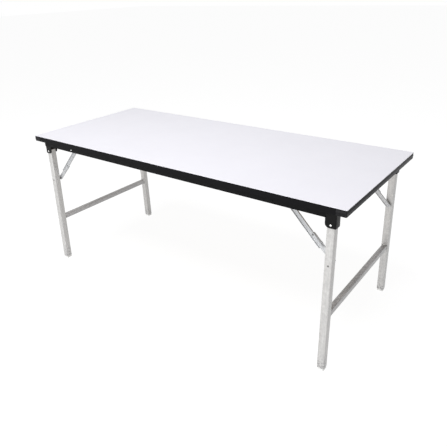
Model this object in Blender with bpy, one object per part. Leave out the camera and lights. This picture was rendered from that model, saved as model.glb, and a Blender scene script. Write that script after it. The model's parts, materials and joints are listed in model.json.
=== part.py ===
"""Folding table: a laminated top on two folding leg frames with locking stays.

Metres, +Z up. +X runs along the table, +Y to its back edge. The origin lies on
the floor under the middle of the top.
"""
import math

import bmesh
import bpy
from mathutils import Vector

# The top
TABLE_LENGTH = 1.800
TABLE_WIDTH = 0.750
TABLE_HEIGHT = 0.750
TOP_DEPTH = 0.028
LAMINATE_SHEET = 0.0010
BACKING_SHEET = 0.0010
TOP_CORNER_RADIUS = 0.003
CORNER_STEPS = 4

# Clearance between neighbours that touch or slide in the real table
GAP = 0.0003

# Edge strips on the long sides and mouldings round the ends
STRIP_THICKNESS = 0.0018
MOULDING_THICKNESS = 0.0022
MOULDING_WRAP = 0.042
RIDGE_RISE = 0.0008
RIDGE_HEIGHT = 0.007
RIDGE_SLOPE = 0.0015

# Folded steel rails under the long sides
RAIL_DROP = 0.018
RAIL_SHEET = 0.0012
RAIL_SET_BACK = 0.0018
RAIL_TOP_FLANGE = 0.030
RAIL_BOTTOM_FLANGE = 0.012
RAIL_PAST_BRACKET = 0.0105
RAIL_NOTCH_CLEARANCE = 0.003
RAIL_SCREWS = 5
RAIL_SCREW_FROM_END = 0.086
RAIL_SCREW_INSET = 0.009

# Cross members that carry the stays
MEMBER_WIDTH = 0.025
MEMBER_SHEET = 0.0015
MEMBER_RIVET_RISE = 0.012

# Hinge of each leg, measured from the end, side and underside of the top, and its bracket
HINGE_FROM_END = 0.0675
HINGE_FROM_SIDE = 0.044
HINGE_DROP = 0.0565
BRACKET_SHEET = 0.0025
BRACKET_WIDTH = 0.039
BRACKET_LENGTH = 0.0445
BRACKET_REACH = 0.021
BRACKET_BELOW_PIN = 0.012
BRACKET_CORNER_RADIUS = 0.017
BRACKET_BEND_RADIUS = 0.004
BRACKET_FLANGE = 0.016
BRACKET_SCREW_INSET = 0.010
BRACKET_SCREW_SPREAD = 0.022

# Legs, crossbars and feet
LEG_SIZE = 0.032
LEG_WALL = 0.0015
LEG_CORNER_RADIUS = 0.0035
LEG_ABOVE_PIN = 0.0085
FOOT_SPREAD = 0.015
CROSSBAR_SIZE = 0.025
CROSSBAR_BOTTOM = 0.249
CAP_SHOW = 0.011
CAP_INSET = 0.0008
CAP_PLUG = 0.016
CAP_WALL = 0.0025
CAP_EDGE = 0.0015

# Stay pivots, with the knee measured along the stay and past its straight line, and the links
STAY_TOP_REACH = 0.206
STAY_TOP_DROP = 0.013
STAY_FOOT_BELOW_HINGE = 0.171
KNEE_ABOVE_FOOT = 0.1262
KNEE_OVER_CENTRE = 0.0015
STAY_INSET = 0.024
LINK_SHEET = 0.0015
UPPER_WIDTH = 0.021
UPPER_DEPTH = 0.007
UPPER_TAIL = 0.052
LOWER_WIDTH = 0.020
LOWER_DEPTH = 0.0065
STOP_LENGTH = 0.010
STOP_FROM_END = 0.004

# Anchor of each stay on its cross member
ANCHOR_REACH = 0.0145
ANCHOR_SHEET = 0.0025
ANCHOR_EAR_RADIUS = 0.010
ANCHOR_FOOT_LENGTH = 0.022

# Pins, rivets and screws
PIN_RADIUS = 0.003
PIN_HEAD_RADIUS = 0.0045
RIVET_RADIUS = 0.0025
RIVET_HEAD_RADIUS = 0.0040
HEAD_HEIGHT = 0.0018
RAIL_HEAD_RADIUS = 0.0035
RAIL_HEAD_HEIGHT = 0.0014
SHOULDER_RADIUS = 0.0045
SCREW_RADIUS = 0.0018
SCREW_HEAD_RADIUS = 0.0040
SCREW_HEAD_HEIGHT = 0.0018
SCREW_BITE = 0.012
SCREW_STEPS = 8
ROUND_STEPS = 12

# Shape of a domed head, as shares of its radius and height
DOME_RADIUS_SHARE = 0.65
DOME_HEIGHT_SHARE = 0.85
RIM_HEIGHT_SHARE = 0.35

# Levels and faces that follow from the sizes above
HALF_LENGTH = TABLE_LENGTH / 2
HALF_WIDTH = TABLE_WIDTH / 2
TOP_UNDERSIDE = TABLE_HEIGHT - TOP_DEPTH
CORE_TOP = TABLE_HEIGHT - LAMINATE_SHEET - GAP
CORE_BOTTOM = TOP_UNDERSIDE + BACKING_SHEET + GAP
STRIP_END_X = HALF_LENGTH - MOULDING_WRAP
CORE_HALF_LENGTH = HALF_LENGTH - RIDGE_RISE - MOULDING_THICKNESS - GAP
CORE_HALF_WIDTH = HALF_WIDTH - RIDGE_RISE - MOULDING_THICKNESS - GAP
FRAME_TOP = TOP_UNDERSIDE - GAP
RAIL_BOTTOM = TOP_UNDERSIDE - RAIL_DROP
RAIL_FACE = HALF_WIDTH - RAIL_SET_BACK
HINGE_X = HALF_LENGTH - HINGE_FROM_END
HINGE_Y = HALF_WIDTH - HINGE_FROM_SIDE
HINGE_Z = TOP_UNDERSIDE - HINGE_DROP
STAY_TOP = (HINGE_X - STAY_TOP_REACH, TOP_UNDERSIDE - STAY_TOP_DROP)
STAY_FOOT = (HINGE_X, HINGE_Z - STAY_FOOT_BELOW_HINGE)
STAY_SPAN = math.dist(STAY_TOP, STAY_FOOT)
STAY_RUN = ((STAY_TOP[0] - STAY_FOOT[0]) / STAY_SPAN, (STAY_TOP[1] - STAY_FOOT[1]) / STAY_SPAN)
KNEE = (
    STAY_FOOT[0] + KNEE_ABOVE_FOOT * STAY_RUN[0] - KNEE_OVER_CENTRE * STAY_RUN[1],
    STAY_FOOT[1] + KNEE_ABOVE_FOOT * STAY_RUN[1] + KNEE_OVER_CENTRE * STAY_RUN[0],
)
STAY_PLANE_Y = HINGE_Y - STAY_INSET
MEMBER_SIDE = STAY_TOP[0] - ANCHOR_REACH
MEMBER_X = MEMBER_SIDE - MEMBER_WIDTH / 2
MEMBER_BOTTOM = RAIL_BOTTOM + RAIL_SHEET + GAP
MEMBER_TOP = FRAME_TOP - RAIL_SHEET - GAP
MEMBER_END = RAIL_FACE - RAIL_SHEET - GAP
BRACKET_OUTER_X = HINGE_X + BRACKET_REACH
BRACKET_OPEN_X = BRACKET_OUTER_X - BRACKET_LENGTH
BRACKET_BOTTOM = HINGE_Z - BRACKET_BELOW_PIN
RAIL_HALF_LENGTH = BRACKET_OPEN_X + RAIL_PAST_BRACKET
RAIL_NOTCH_X = BRACKET_OPEN_X - RAIL_NOTCH_CLEARANCE
CHEEK_OUT = HINGE_Y + BRACKET_WIDTH / 2
CHEEK_IN = HINGE_Y - BRACKET_WIDTH / 2
LEG_TOP = HINGE_Z + LEG_ABOVE_PIN
LEG_HALF = LEG_SIZE / 2
CROSSBAR_HALF = CROSSBAR_SIZE / 2
UPPER_FRONT = STAY_PLANE_Y + UPPER_DEPTH
UPPER_WEB_FRONT = STAY_PLANE_Y + LINK_SHEET
LOWER_FACE = STAY_PLANE_Y - GAP
LOWER_BACK = LOWER_FACE - LOWER_DEPTH
LOWER_WEB_BACK = LOWER_FACE - LINK_SHEET

SIDES = {"left": -1, "right": 1}
ROWS = {"front": -1, "back": 1}


def material(name, colour, metallic, roughness):
    """Principled material, made once for each name."""
    made = bpy.data.materials.get(name)
    if made:
        return made
    made = bpy.data.materials.new(name)
    made.use_nodes = True
    shader = made.node_tree.nodes["Principled BSDF"]
    shader.inputs["Base Color"].default_value = (*colour, 1)
    shader.inputs["Metallic"].default_value = metallic
    shader.inputs["Roughness"].default_value = roughness
    made.diffuse_color = (*colour, 1)
    return made


def laminate():
    return material("white_laminate", (0.86, 0.86, 0.88), 0, 0.35)


def board():
    return material("particle_board", (0.52, 0.38, 0.24), 0, 0.80)


def backing():
    return material("brown_backing_sheet", (0.32, 0.25, 0.18), 0, 0.70)


def edging():
    return material("black_edging", (0.03, 0.03, 0.03), 0, 0.45)


def black_steel():
    return material("black_painted_steel", (0.02, 0.02, 0.02), 0, 0.40)


def galvanised():
    return material("galvanised_tube", (0.62, 0.62, 0.60), 1, 0.38)


def stay_steel():
    return material("zinc_plated_steel", (0.68, 0.69, 0.70), 1, 0.32)


def rivet_steel():
    return material("bright_rivet_steel", (0.75, 0.75, 0.74), 1, 0.28)


def cap_plastic():
    return material("light_cap_plastic", (0.80, 0.80, 0.80), 0, 0.50)


def upright(a, b, c):
    """Outline in the plan, carried along Z."""
    return Vector((a, b, c))


def plan(side, row):
    """Outline in the plan of one corner of the table, carried along Z."""
    return lambda a, b, c: Vector((side * a, row * b, c))


def across(side, row):
    """Outline in x and z, carried along y from the middle of the table outward."""
    return lambda a, b, c: Vector((side * a, row * c, b))


def along(row):
    """Outline in y and z, carried along x."""
    return lambda a, b, c: Vector((c, row * a, b))


def leg_centre(z):
    """Distance of a leg's centre from the table's middle line at height z."""
    return HINGE_Y + (HINGE_Z - z) * FOOT_SPREAD / HINGE_Z


def leg_plan(side, row):
    """Plan outline around a leg's centre, carried up the sloping leg."""
    return lambda a, b, c: Vector((side * (HINGE_X + a), row * (leg_centre(c) + b), c))


def link_place(side, row, start, end):
    """Outline along a link from its first pivot, carried along y."""
    reach = Vector((end[0] - start[0], end[1] - start[1])).normalized()
    return lambda a, b, c: Vector((
        side * (start[0] + a * reach.x - b * reach.y),
        row * c,
        start[1] + a * reach.y + b * reach.x,
    ))


def arc(centre, radius, first, last, steps):
    """Points of an arc between two angles in degrees."""
    points = []
    for step in range(steps + 1):
        angle = math.radians(first + (last - first) * step / steps)
        points.append((centre[0] + radius * math.cos(angle), centre[1] + radius * math.sin(angle)))
    return points


def rectangle(left, right, low, high):
    return [(left, low), (right, low), (right, high), (left, high)]


def rounded_rectangle(half_a, half_b, radius, steps=CORNER_STEPS):
    """Rectangle around the origin with its corners rounded."""
    points = []
    for sign_a, sign_b, first in ((1, 1, 0), (-1, 1, 90), (-1, -1, 180), (1, -1, 270)):
        centre = (sign_a * (half_a - radius), sign_b * (half_b - radius))
        points += arc(centre, radius, first, first + 90, steps)
    return points


def round_ended(start, end, radius, steps=ROUND_STEPS // 2):
    """Straight bar along the first axis with a half circle at each end."""
    return arc((end, 0), radius, -90, 90, steps) + arc((start, 0), radius, 90, 270, steps)


def close_ring(mesh, first, second):
    """Faces between two rings of points."""
    count = len(first)
    for i in range(count):
        j = (i + 1) % count
        mesh.faces.new((first[i], first[j], second[j], second[i]))


def prism(mesh, outline, low, high, place):
    """Closed solid: an outline carried from one level to another."""
    rings = [[mesh.verts.new(place(a, b, level)) for a, b in outline] for level in (low, high)]
    mesh.faces.new(rings[0])
    mesh.faces.new(rings[1])
    close_ring(mesh, rings[0], rings[1])


def pipe(mesh, outer, inner, low, high, place):
    """Open-ended tube between two outlines with the same number of points."""
    rings = []
    for outline in (outer, inner):
        for level in (low, high):
            rings.append([mesh.verts.new(place(a, b, level)) for a, b in outline])
    close_ring(mesh, rings[0], rings[1])
    close_ring(mesh, rings[2], rings[3])
    close_ring(mesh, rings[0], rings[2])
    close_ring(mesh, rings[1], rings[3])


def turned(mesh, profile, centre, place, steps=ROUND_STEPS):
    """Revolve (radius, level) points about an axis through centre. Both ends lie on the axis."""
    ends = [mesh.verts.new(place(*centre, profile[i][1])) for i in (0, -1)]
    rings = []
    for radius, level in profile[1:-1]:
        circle = arc(centre, radius, 0, 360, steps)[:-1]
        rings.append([mesh.verts.new(place(a, b, level)) for a, b in circle])
    for first, second in zip(rings, rings[1:]):
        close_ring(mesh, first, second)
    for tip, ring in zip(ends, (rings[0], rings[-1])):
        for i in range(steps):
            mesh.faces.new((tip, ring[i], ring[(i + 1) % steps]))


def rod(mesh, centre, radius, low, high, place, steps=ROUND_STEPS):
    """Plain round bar."""
    prism(mesh, arc(centre, radius, 0, 360, steps)[:-1], low, high, place)


def dome(radius, height, base, way):
    """Profile of a domed head from its rim to its top. way is +1 or -1 along the axis."""
    return [
        (radius, base),
        (radius, base + way * height * RIM_HEIGHT_SHARE),
        (radius * DOME_RADIUS_SHARE, base + way * height * DOME_HEIGHT_SHARE),
        (0, base + way * height),
    ]


def rivet(mesh, centre, shank, head, height, low, high, place):
    """Rivet with a domed head past each end of the stack that it holds."""
    profile = dome(head, height, low - GAP, -1)[::-1]
    profile += [(shank, low - GAP), (shank, high + GAP)]
    profile += dome(head, height, high + GAP, 1)
    turned(mesh, profile, centre, place)


def shouldered_pin(mesh, centre, place):
    """Stay foot pin: a head outside the leg, a shank through it and a shoulder up to the link."""
    outer_face = leg_centre(STAY_FOOT[1]) + LEG_HALF
    inner_face = leg_centre(STAY_FOOT[1]) - LEG_HALF
    profile = [(0, STAY_PLANE_Y), (SHOULDER_RADIUS, STAY_PLANE_Y), (SHOULDER_RADIUS, inner_face - GAP)]
    profile += [(RIVET_RADIUS, inner_face - GAP), (RIVET_RADIUS, outer_face + GAP)]
    profile += dome(RIVET_HEAD_RADIUS, HEAD_HEIGHT, outer_face + GAP, 1)
    turned(mesh, profile, centre, place)


def screw(mesh, x, y, sheet):
    """Pan-head screw driven up through a sheet into the board. Its head runs into the sheet."""
    seat = FRAME_TOP - sheet
    profile = dome(SCREW_HEAD_RADIUS, SCREW_HEAD_HEIGHT, seat, -1)[::-1]
    profile += [(SCREW_HEAD_RADIUS, seat + sheet / 2), (SCREW_RADIUS, seat + sheet / 2)]
    profile += [(SCREW_RADIUS, FRAME_TOP + SCREW_BITE), (0, FRAME_TOP + SCREW_BITE + SCREW_RADIUS)]
    turned(mesh, profile, (x, y), upright, SCREW_STEPS)


def add_object(name, mesh, made_of, axis=None):
    """Turn a filled mesh into a named object, hung on its body's axis if it moves."""
    bmesh.ops.recalc_face_normals(mesh, faces=mesh.faces)
    if axis:
        bmesh.ops.translate(mesh, verts=mesh.verts, vec=-axis.location)
    data = bpy.data.meshes.new(name)
    mesh.to_mesh(data)
    mesh.free()
    data.materials.append(made_of)
    made = bpy.data.objects.new(name, data)
    bpy.context.collection.objects.link(made)
    if axis:
        made.parent = axis
    return made


def add_axis(name, x, y, z):
    """Empty that marks the joint axis of a moving body."""
    axis = bpy.data.objects.new(name, None)
    axis.location = (x, y, z)
    bpy.context.collection.objects.link(axis)
    return axis


def add_tool(target, name, mesh, operation):
    """Solid that is cut from its target or joined to it, and doesn't render itself."""
    tool = add_object(name, mesh, target.data.materials[0], target.parent)
    tool.hide_render = True
    tool.display_type = "WIRE"
    step = target.modifiers.new(name, "BOOLEAN")
    step.operation = operation
    step.solver = "EXACT"
    step.object = tool


def rail_screws(row):
    """Plan positions of the screws through a rail's top flange."""
    y = RAIL_FACE - RAIL_TOP_FLANGE + RAIL_SCREW_INSET
    last = RAIL_NOTCH_X - RAIL_SCREW_FROM_END
    step = 2 * last / (RAIL_SCREWS - 1)
    return [(i * step - last, row * y) for i in range(RAIL_SCREWS)]


def bracket_screws(side, row):
    """Plan positions of the screws through a bracket's flanges."""
    first = BRACKET_OPEN_X + BRACKET_SCREW_INSET
    places = []
    for x in (first, first + BRACKET_SCREW_SPREAD):
        for y in (CHEEK_IN - BRACKET_FLANGE / 2, CHEEK_OUT + BRACKET_FLANGE / 2):
            places.append((side * x, row * y))
    return places


def add_screws(target, name, places, sheet):
    """Join screws to the sheet that they hold under the board."""
    mesh = bmesh.new()
    for x, y in places:
        screw(mesh, x, y, sheet)
    add_tool(target, name, mesh, "UNION")


def add_screw_holes(target, name):
    """Holes with clearance for all the screws under the board."""
    mesh = bmesh.new()
    places = []
    for row in ROWS.values():
        places += rail_screws(row)
        for side in SIDES.values():
            places += bracket_screws(side, row)
    for place in places:
        rod(mesh, place, SCREW_RADIUS + GAP, RAIL_BOTTOM, FRAME_TOP + SCREW_BITE + SCREW_RADIUS + GAP,
            upright, SCREW_STEPS)
    add_tool(target, name, mesh, "DIFFERENCE")


def add_top():
    """Laminate, core and backing sheet."""
    mesh = bmesh.new()
    outline = rounded_rectangle(HALF_LENGTH, HALF_WIDTH, TOP_CORNER_RADIUS)
    prism(mesh, outline, TABLE_HEIGHT - LAMINATE_SHEET, TABLE_HEIGHT, upright)
    add_object("top_laminate", mesh, laminate())

    inner_radius = TOP_CORNER_RADIUS - MOULDING_THICKNESS
    outline = rounded_rectangle(CORE_HALF_LENGTH, CORE_HALF_WIDTH, inner_radius)
    mesh = bmesh.new()
    prism(mesh, outline, CORE_BOTTOM, CORE_TOP, upright)
    core = add_object("top_board", mesh, board())
    add_screw_holes(core, "board_screw_holes")

    mesh = bmesh.new()
    prism(mesh, outline, TOP_UNDERSIDE, TOP_UNDERSIDE + BACKING_SHEET, upright)
    sheet = add_object("backing_sheet", mesh, backing())
    add_screw_holes(sheet, "backing_screw_holes")


def add_edge_strips():
    """Flat strips along the front and back of the board."""
    outer = HALF_WIDTH - RIDGE_RISE
    section = rectangle(outer - STRIP_THICKNESS, outer, TOP_UNDERSIDE, CORE_TOP)
    for row_name, row in ROWS.items():
        mesh = bmesh.new()
        prism(mesh, section, GAP - STRIP_END_X, STRIP_END_X - GAP, along(row))
        add_object(f"edge_strip_{row_name}", mesh, edging())


def moulding_section():
    """Section of an end moulding: distance out from the core, and height."""
    middle = (TOP_UNDERSIDE + CORE_TOP) / 2
    face = GAP + MOULDING_THICKNESS
    crest = face + RIDGE_RISE
    half = RIDGE_HEIGHT / 2
    return [
        (GAP, TOP_UNDERSIDE),
        (face, TOP_UNDERSIDE),
        (face, middle - half - RIDGE_SLOPE),
        (crest, middle - half),
        (crest, middle + half),
        (face, middle + half + RIDGE_SLOPE),
        (face, CORE_TOP),
        (GAP, CORE_TOP),
    ]


def moulding_path():
    """Path of an end moulding round the core: (point, outward direction) from front to back."""
    radius = TOP_CORNER_RADIUS - MOULDING_THICKNESS
    corner_x = CORE_HALF_LENGTH - radius
    corner_y = CORE_HALF_WIDTH - radius
    path = [((STRIP_END_X, -CORE_HALF_WIDTH), (0, -1))]
    for sign, first in ((-1, -90), (1, 0)):
        for step in range(CORNER_STEPS + 1):
            angle = math.radians(first + 90 * step / CORNER_STEPS)
            out = (math.cos(angle), math.sin(angle))
            path.append(((corner_x + radius * out[0], sign * corner_y + radius * out[1]), out))
    path.append(((STRIP_END_X, CORE_HALF_WIDTH), (0, 1)))
    return path


def add_end_mouldings():
    """Ridged mouldings across both ends, wrapped a short way round each corner."""
    for side_name, side in SIDES.items():
        mesh = bmesh.new()
        rings = []
        for (x, y), (out_x, out_y) in moulding_path():
            ring = [(side * (x + out * out_x), y + out * out_y, z) for out, z in moulding_section()]
            rings.append([mesh.verts.new(point) for point in ring])
        mesh.faces.new(rings[0])
        mesh.faces.new(rings[-1])
        for first, second in zip(rings, rings[1:]):
            close_ring(mesh, first, second)
        add_object(f"end_moulding_{side_name}", mesh, edging())


def add_rails():
    """Folded rails: a face, a narrow bottom flange and a wide top one, notched at the brackets."""
    face_in = RAIL_FACE - RAIL_SHEET
    section = [
        (RAIL_FACE - RAIL_BOTTOM_FLANGE, RAIL_BOTTOM),
        (RAIL_FACE, RAIL_BOTTOM),
        (RAIL_FACE, FRAME_TOP),
        (RAIL_FACE - RAIL_TOP_FLANGE, FRAME_TOP),
        (RAIL_FACE - RAIL_TOP_FLANGE, FRAME_TOP - RAIL_SHEET),
        (face_in, FRAME_TOP - RAIL_SHEET),
        (face_in, RAIL_BOTTOM + RAIL_SHEET),
        (RAIL_FACE - RAIL_BOTTOM_FLANGE, RAIL_BOTTOM + RAIL_SHEET),
    ]
    for row_name, row in ROWS.items():
        mesh = bmesh.new()
        prism(mesh, section, -RAIL_HALF_LENGTH, RAIL_HALF_LENGTH, along(row))
        rail = add_object(f"rail_{row_name}", mesh, black_steel())
        mesh = bmesh.new()
        notch = rectangle(RAIL_NOTCH_X, HALF_LENGTH, FRAME_TOP - RAIL_SHEET * 2, FRAME_TOP + RAIL_SHEET)
        for side in SIDES.values():
            prism(mesh, notch, face_in - RAIL_TOP_FLANGE, face_in, across(side, row))
        add_tool(rail, f"rail_notches_{row_name}", mesh, "DIFFERENCE")
        mesh = bmesh.new()
        centre = (MEMBER_X, RAIL_BOTTOM + MEMBER_RIVET_RISE)
        for side in SIDES.values():
            rod(mesh, centre, RIVET_RADIUS + GAP, MEMBER_END - MEMBER_SHEET, HALF_WIDTH,
                across(side, row))
        add_tool(rail, f"rail_holes_{row_name}", mesh, "DIFFERENCE")
        add_screws(rail, f"rail_screws_{row_name}", rail_screws(row), RAIL_SHEET)


def add_cross_members():
    """Channels open to the board, with closed ends that are riveted to the rails."""
    half = MEMBER_WIDTH / 2
    for side_name, side in SIDES.items():
        mesh = bmesh.new()
        block = rectangle(MEMBER_X - half, MEMBER_X + half, MEMBER_BOTTOM, MEMBER_TOP)
        prism(mesh, block, -MEMBER_END, MEMBER_END, across(side, 1))
        member = add_object(f"cross_member_{side_name}", mesh, black_steel())

        mesh = bmesh.new()
        inner = half - MEMBER_SHEET
        hollow = rectangle(MEMBER_X - inner, MEMBER_X + inner,
                           MEMBER_BOTTOM + MEMBER_SHEET, MEMBER_TOP + MEMBER_SHEET)
        end = MEMBER_END - MEMBER_SHEET
        prism(mesh, hollow, -end, end, across(side, 1))
        add_tool(member, f"cross_member_hollow_{side_name}", mesh, "DIFFERENCE")

        mesh = bmesh.new()
        for row in ROWS.values():
            centre = (MEMBER_X, RAIL_BOTTOM + MEMBER_RIVET_RISE)
            rod(mesh, centre, RIVET_RADIUS + GAP, end - MEMBER_SHEET, HALF_WIDTH, across(side, row))
        add_tool(member, f"cross_member_holes_{side_name}", mesh, "DIFFERENCE")


def add_anchors():
    """Angle plates: a foot welded to the cross member and an ear that carries the stay."""
    start = MEMBER_SIDE + GAP
    ear = [(start, STAY_TOP[1] - ANCHOR_EAR_RADIUS)]
    ear += arc(STAY_TOP, ANCHOR_EAR_RADIUS, -90, 0, CORNER_STEPS)
    ear += [(STAY_TOP[0] + ANCHOR_EAR_RADIUS, MEMBER_TOP), (start, MEMBER_TOP)]
    foot_inner = LOWER_FACE - ANCHOR_FOOT_LENGTH
    foot = rectangle(start, start + ANCHOR_SHEET, STAY_TOP[1] - ANCHOR_EAR_RADIUS, MEMBER_TOP)
    for side_name, side in SIDES.items():
        for row_name, row in ROWS.items():
            spot = f"{row_name}_{side_name}"
            mesh = bmesh.new()
            prism(mesh, ear, LOWER_FACE - ANCHOR_SHEET, LOWER_FACE, across(side, row))
            anchor = add_object(f"stay_anchor_{spot}", mesh, black_steel())
            mesh = bmesh.new()
            prism(mesh, foot, foot_inner, LOWER_FACE - ANCHOR_SHEET / 2, across(side, row))
            add_tool(anchor, f"anchor_foot_{spot}", mesh, "UNION")
            mesh = bmesh.new()
            rod(mesh, STAY_TOP, RIVET_RADIUS + GAP, LOWER_FACE - ANCHOR_SHEET * 2,
                LOWER_FACE + ANCHOR_SHEET, across(side, row))
            add_tool(anchor, f"anchor_hole_{spot}", mesh, "DIFFERENCE")


def bracket_plan():
    """Plan of a bent bracket: two cheeks, cut back later, and the web at the outer end."""
    outer = BRACKET_BEND_RADIUS
    inner = BRACKET_BEND_RADIUS - BRACKET_SHEET
    centre_x = BRACKET_OUTER_X - outer
    uncut_x = BRACKET_OPEN_X - BRACKET_SHEET
    plan = [(uncut_x, CHEEK_IN)]
    plan += arc((centre_x, CHEEK_IN + outer), outer, -90, 0, CORNER_STEPS)
    plan += arc((centre_x, CHEEK_OUT - outer), outer, 0, 90, CORNER_STEPS)
    plan += [(uncut_x, CHEEK_OUT), (uncut_x, CHEEK_OUT - BRACKET_SHEET)]
    plan += arc((centre_x, CHEEK_OUT - outer), inner, 90, 0, CORNER_STEPS)
    plan += arc((centre_x, CHEEK_IN + outer), inner, 0, -90, CORNER_STEPS)
    plan += [(uncut_x, CHEEK_IN + BRACKET_SHEET)]
    return plan


def bracket_waste():
    """Waste past the open edge, the rounded corner and the lower edge of the cheeks, in x and z."""
    radius = BRACKET_CORNER_RADIUS
    centre = (BRACKET_OPEN_X + radius, BRACKET_BOTTOM + radius)
    past_open_x = BRACKET_OPEN_X - BRACKET_SHEET * 2
    past_outer_x = BRACKET_OUTER_X + BRACKET_SHEET
    below = BRACKET_BOTTOM - BRACKET_SHEET * 2
    above = FRAME_TOP + BRACKET_SHEET
    waste = [(BRACKET_OPEN_X, above)]
    waste += arc(centre, radius, 180, 270, CORNER_STEPS * 2)
    waste += [(past_outer_x, BRACKET_BOTTOM), (past_outer_x, below)]
    waste += [(past_open_x, below), (past_open_x, above)]
    return waste


def add_brackets():
    """Bent hinge brackets with a flange under the board on each side."""
    plate = rectangle(BRACKET_OPEN_X, BRACKET_OUTER_X, CHEEK_IN - BRACKET_FLANGE,
                      CHEEK_OUT + BRACKET_FLANGE)
    for side_name, side in SIDES.items():
        for row_name, row in ROWS.items():
            spot = f"{row_name}_{side_name}"
            mesh = bmesh.new()
            prism(mesh, bracket_plan(), BRACKET_BOTTOM - BRACKET_SHEET, FRAME_TOP - BRACKET_SHEET / 2,
                  plan(side, row))
            bracket = add_object(f"hinge_bracket_{spot}", mesh, black_steel())
            mesh = bmesh.new()
            through_low = CHEEK_IN - BRACKET_SHEET
            through_high = CHEEK_OUT + BRACKET_SHEET
            prism(mesh, bracket_waste(), through_low, through_high, across(side, row))
            add_tool(bracket, f"bracket_waste_{spot}", mesh, "DIFFERENCE")
            mesh = bmesh.new()
            prism(mesh, plate, FRAME_TOP - BRACKET_SHEET, FRAME_TOP, plan(side, row))
            add_tool(bracket, f"bracket_flange_{spot}", mesh, "UNION")
            mesh = bmesh.new()
            rod(mesh, (HINGE_X, HINGE_Z), PIN_RADIUS + GAP, through_low, through_high,
                across(side, row))
            add_tool(bracket, f"bracket_hole_{spot}", mesh, "DIFFERENCE")
            add_screws(bracket, f"bracket_screws_{spot}", bracket_screws(side, row), BRACKET_SHEET)


def add_fixed_fasteners():
    """Pins and rivets that stay with the top."""
    member_rivet = (MEMBER_X, RAIL_BOTTOM + MEMBER_RIVET_RISE)
    for side_name, side in SIDES.items():
        for row_name, row in ROWS.items():
            place = across(side, row)
            spot = f"{row_name}_{side_name}"
            mesh = bmesh.new()
            rivet(mesh, (HINGE_X, HINGE_Z), PIN_RADIUS, PIN_HEAD_RADIUS, HEAD_HEIGHT,
                  CHEEK_IN, CHEEK_OUT, place)
            add_object(f"hinge_pin_{spot}", mesh, rivet_steel())
            mesh = bmesh.new()
            rivet(mesh, STAY_TOP, RIVET_RADIUS, RIVET_HEAD_RADIUS, HEAD_HEIGHT,
                  LOWER_FACE - ANCHOR_SHEET, UPPER_WEB_FRONT, place)
            add_object(f"stay_top_rivet_{spot}", mesh, rivet_steel())
            mesh = bmesh.new()
            rivet(mesh, member_rivet, RIVET_RADIUS, RAIL_HEAD_RADIUS, RAIL_HEAD_HEIGHT,
                  MEMBER_END - MEMBER_SHEET, RAIL_FACE, place)
            add_object(f"cross_member_rivet_{spot}", mesh, rivet_steel())


def add_leg(side, row, spot, axis):
    """Square tube from above the hinge pin down to the foot cap."""
    place = leg_plan(side, row)
    mesh = bmesh.new()
    inner = LEG_HALF - LEG_WALL
    pipe(mesh, rounded_rectangle(LEG_HALF, LEG_HALF, LEG_CORNER_RADIUS),
         rounded_rectangle(inner, inner, LEG_CORNER_RADIUS - LEG_WALL), CAP_SHOW + GAP, LEG_TOP, place)
    leg = add_object(f"leg_tube_{spot}", mesh, galvanised(), axis)
    mesh = bmesh.new()
    low = CHEEK_IN - LEG_HALF
    high = CHEEK_OUT + LEG_HALF
    rod(mesh, (HINGE_X, HINGE_Z), PIN_RADIUS + GAP, low, high, across(side, row))
    rod(mesh, STAY_FOOT, RIVET_RADIUS + GAP, low, high, across(side, row))
    add_tool(leg, f"leg_holes_{spot}", mesh, "DIFFERENCE")


def add_foot_cap(side, row, spot, axis):
    """Cap with a hollow plug inside the tube."""
    place = leg_plan(side, row)
    foot = LEG_HALF - CAP_INSET
    plug = LEG_HALF - LEG_WALL - GAP
    hollow = plug - CAP_WALL
    radius = LEG_CORNER_RADIUS
    levels = [
        (foot - CAP_EDGE, 0),
        (foot, CAP_EDGE),
        (foot, CAP_SHOW),
        (plug, CAP_SHOW),
        (plug, CAP_SHOW + CAP_PLUG),
        (hollow, CAP_SHOW + CAP_PLUG),
        (hollow, CAP_SHOW - CAP_EDGE),
    ]
    mesh = bmesh.new()
    rings = []
    for half, z in levels:
        outline = rounded_rectangle(half, half, min(radius, half - LEG_WALL), CORNER_STEPS // 2)
        rings.append([mesh.verts.new(place(a, b, z)) for a, b in outline])
    mesh.faces.new(rings[0])
    mesh.faces.new(rings[-1])
    for first, second in zip(rings, rings[1:]):
        close_ring(mesh, first, second)
    add_object(f"foot_cap_{spot}", mesh, cap_plastic(), axis)


def add_crossbar(side, side_name, axis):
    """Square tube between the two legs of a frame, cut to their slope."""
    middle = CROSSBAR_BOTTOM + CROSSBAR_HALF
    inner = CROSSBAR_HALF - LEG_WALL
    mesh = bmesh.new()

    def place(a, b, c):
        end = leg_centre(middle + b) - LEG_HALF - GAP
        return Vector((side * (HINGE_X + a), c * end, middle + b))

    pipe(mesh, rounded_rectangle(CROSSBAR_HALF, CROSSBAR_HALF, LEG_CORNER_RADIUS),
         rounded_rectangle(inner, inner, LEG_CORNER_RADIUS - LEG_WALL), -1, 1, place)
    add_object(f"crossbar_{side_name}", mesh, galvanised(), axis)


def add_leg_frames():
    """Two frames, each hung on the axis through its pair of hinge pins."""
    for side_name, side in SIDES.items():
        axis = add_axis(f"leg_axis_{side_name}", side * HINGE_X, 0, HINGE_Z)
        add_crossbar(side, side_name, axis)
        for row_name, row in ROWS.items():
            spot = f"{row_name}_{side_name}"
            add_leg(side, row, spot, axis)
            add_foot_cap(side, row, spot, axis)
            mesh = bmesh.new()
            shouldered_pin(mesh, STAY_FOOT, across(side, row))
            add_object(f"stay_foot_pin_{spot}", mesh, rivet_steel(), axis)


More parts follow.
